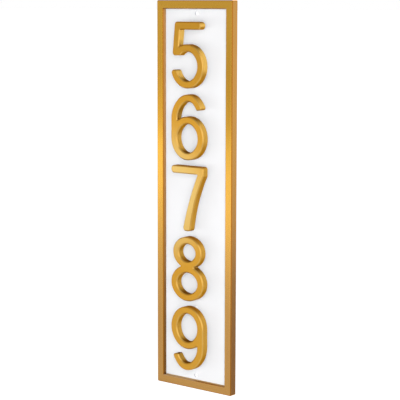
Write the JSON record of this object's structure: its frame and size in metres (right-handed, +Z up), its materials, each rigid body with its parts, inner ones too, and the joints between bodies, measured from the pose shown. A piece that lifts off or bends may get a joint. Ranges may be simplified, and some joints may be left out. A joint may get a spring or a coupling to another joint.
{
  "type": "house number plaque",
  "caption": "Upright framed house number plaque: a white panel in a slim satin gold frame, with thick bevelled gold numerals standing clear of it, one under another.",
  "frame": {"origin": "middle between the two wall screw holes, on the back face of the panel", "axes": "+Z up along the plaque, -Y out of its front towards the reader, +Y into the wall, +X to the reader's right"},
  "size_m": [0.113, 0.0215, 0.4572],
  "materials": {
    "frame_gold": "satin gold, fine brushing along each bar",
    "numeral_gold": "satin gold with bright bevels",
    "panel_white": "smooth white, low gloss",
    "key_aluminium": "mill finish",
    "post_white": "moulded white"
  },
  "bodies": {
    "root": {"frame_top": "frame_gold", "frame_right": "frame_gold", "frame_bottom": "frame_gold", "frame_left": "frame_gold", "corner_key_top_left": "key_aluminium", "corner_key_top_right": "key_aluminium", "corner_key_bottom_left": "key_aluminium", "corner_key_bottom_right": "key_aluminium", "panel": "panel_white", "numeral_5": "numeral_gold", "posts_5": "post_white", "numeral_6": "numeral_gold", "posts_6": "post_white", "numeral_7": "numeral_gold", "posts_7": "post_white", "numeral_8": "numeral_gold", "posts_8": "post_white", "numeral_9": "numeral_gold", "posts_9": "post_white"}
  },
  "joints": []
}
